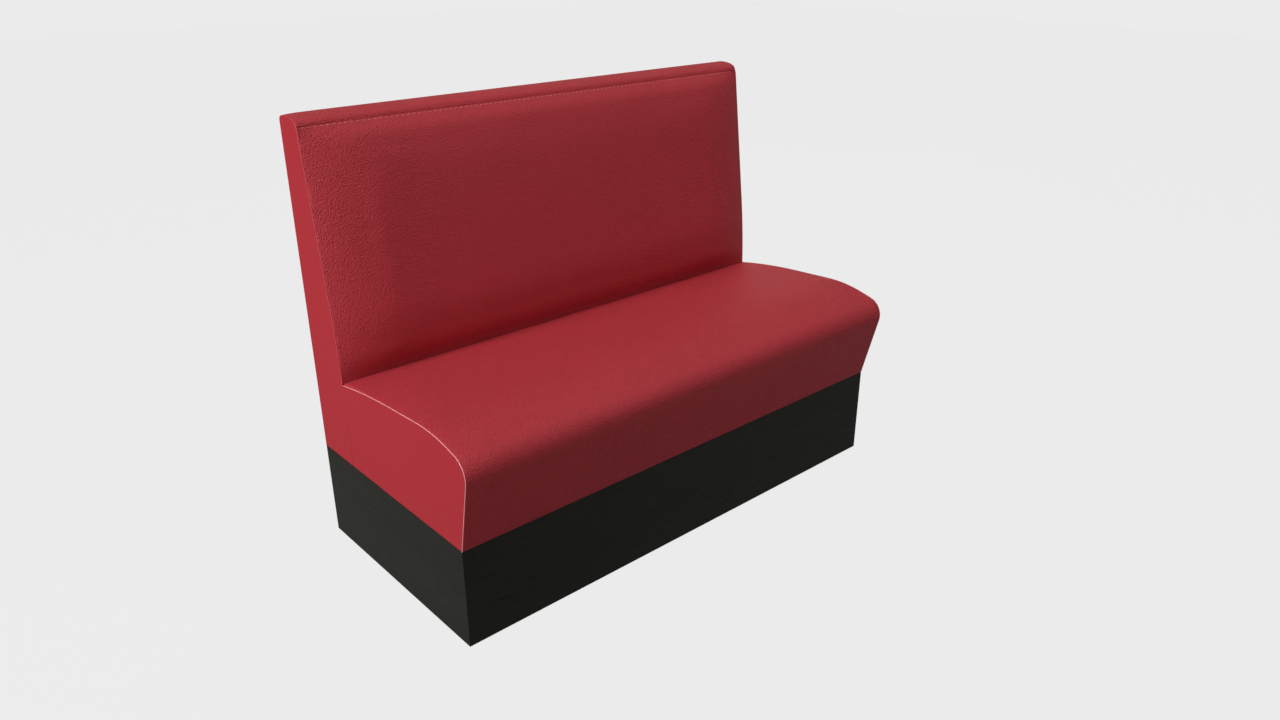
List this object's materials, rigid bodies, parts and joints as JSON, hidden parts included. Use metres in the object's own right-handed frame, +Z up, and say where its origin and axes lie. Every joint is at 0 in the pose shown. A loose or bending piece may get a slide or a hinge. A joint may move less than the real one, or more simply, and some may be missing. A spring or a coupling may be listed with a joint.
{
  "type": "restaurant booth seating",
  "caption": "Single-sided upholstered booth bench with a waterfall seat, a raked padded back with a stitched top roll, and a dark wood plinth on levelling feet.",
  "frame": {"origin": "on the floor, under the middle of the width and of the depth from the nose to the rear face", "axes": "+X along the bench to the sitter's left, which is the right of a front view; the sitter faces -Y; +Z up"},
  "size_m": [1.3008, 0.6371, 1.0216],
  "materials": {
    "red_vinyl": "satin",
    "stained_ash": "satin",
    "plywood": "matte",
    "foam": "matte",
    "webbing": "matte",
    "zinc_steel": "satin",
    "black_nylon": "matte"
  },
  "bodies": {
    "bench": {"back_bottom_rail": "plywood", "back_end_left": "plywood", "back_end_right": "plywood", "back_foam": "foam", "back_front_cover": "red_vinyl", "back_piping_left": "red_vinyl", "back_piping_right": "red_vinyl", "back_rib_centre": "plywood", "back_rib_left": "plywood", "back_rib_right": "plywood", "back_side_cover_left": "red_vinyl", "back_side_cover_right": "red_vinyl", "back_support_panel": "plywood", "back_top_rail": "plywood", "corner_block_front_left": "plywood", "corner_block_front_right": "plywood", "corner_block_rear_left": "plywood", "corner_block_rear_right": "plywood", "foot_inserts": "zinc_steel", "joining_bolts": "zinc_steel", "joining_nuts": "zinc_steel", "joining_plates": "zinc_steel", "outside_back_cover": "red_vinyl", "outside_back_panel": "plywood", "plinth_front_panel": "stained_ash", "plinth_left_panel": "stained_ash", "plinth_rear_panel": "stained_ash", "plinth_rib_centre": "plywood", "plinth_rib_left": "plywood", "plinth_rib_right": "plywood", "plinth_right_panel": "stained_ash", "seat_cover": "red_vinyl", "seat_end_left": "plywood", "seat_end_right": "plywood", "seat_foam": "foam", "seat_front_board": "plywood", "seat_front_foam": "foam", "seat_front_rail": "plywood", "seat_piping_left": "red_vinyl", "seat_piping_right": "red_vinyl", "seat_rear_rail": "plywood", "seat_rib_centre": "plywood", "seat_rib_left": "plywood", "seat_rib_right": "plywood", "seat_side_cover_left": "red_vinyl", "seat_side_cover_right": "red_vinyl", "top_roll_cover": "red_vinyl", "top_roll_foam": "foam", "webbing_cross_straps": "webbing", "webbing_long_straps": "webbing"},
    "foot_front_left": {"foot_stem_front_left": "zinc_steel", "foot_pad_front_left": "black_nylon"},
    "foot_front_right": {"foot_stem_front_right": "zinc_steel", "foot_pad_front_right": "black_nylon"},
    "foot_rear_left": {"foot_stem_rear_left": "zinc_steel", "foot_pad_rear_left": "black_nylon"},
    "foot_rear_right": {"foot_stem_rear_right": "zinc_steel", "foot_pad_rear_right": "black_nylon"}
  },
  "joints": [
    {"name": "level_front_left", "type": "slide", "parent": "bench", "child": "foot_front_left", "axis": [0, 0, -1], "range_m": [-0.004, 0.015]},
    {"name": "level_front_right", "type": "slide", "parent": "bench", "child": "foot_front_right", "axis": [0, 0, -1], "range_m": [-0.004, 0.015]},
    {"name": "level_rear_left", "type": "slide", "parent": "bench", "child": "foot_rear_left", "axis": [0, 0, -1], "range_m": [-0.004, 0.015]},
    {"name": "level_rear_right", "type": "slide", "parent": "bench", "child": "foot_rear_right", "axis": [0, 0, -1], "range_m": [-0.004, 0.015]}
  ]
}
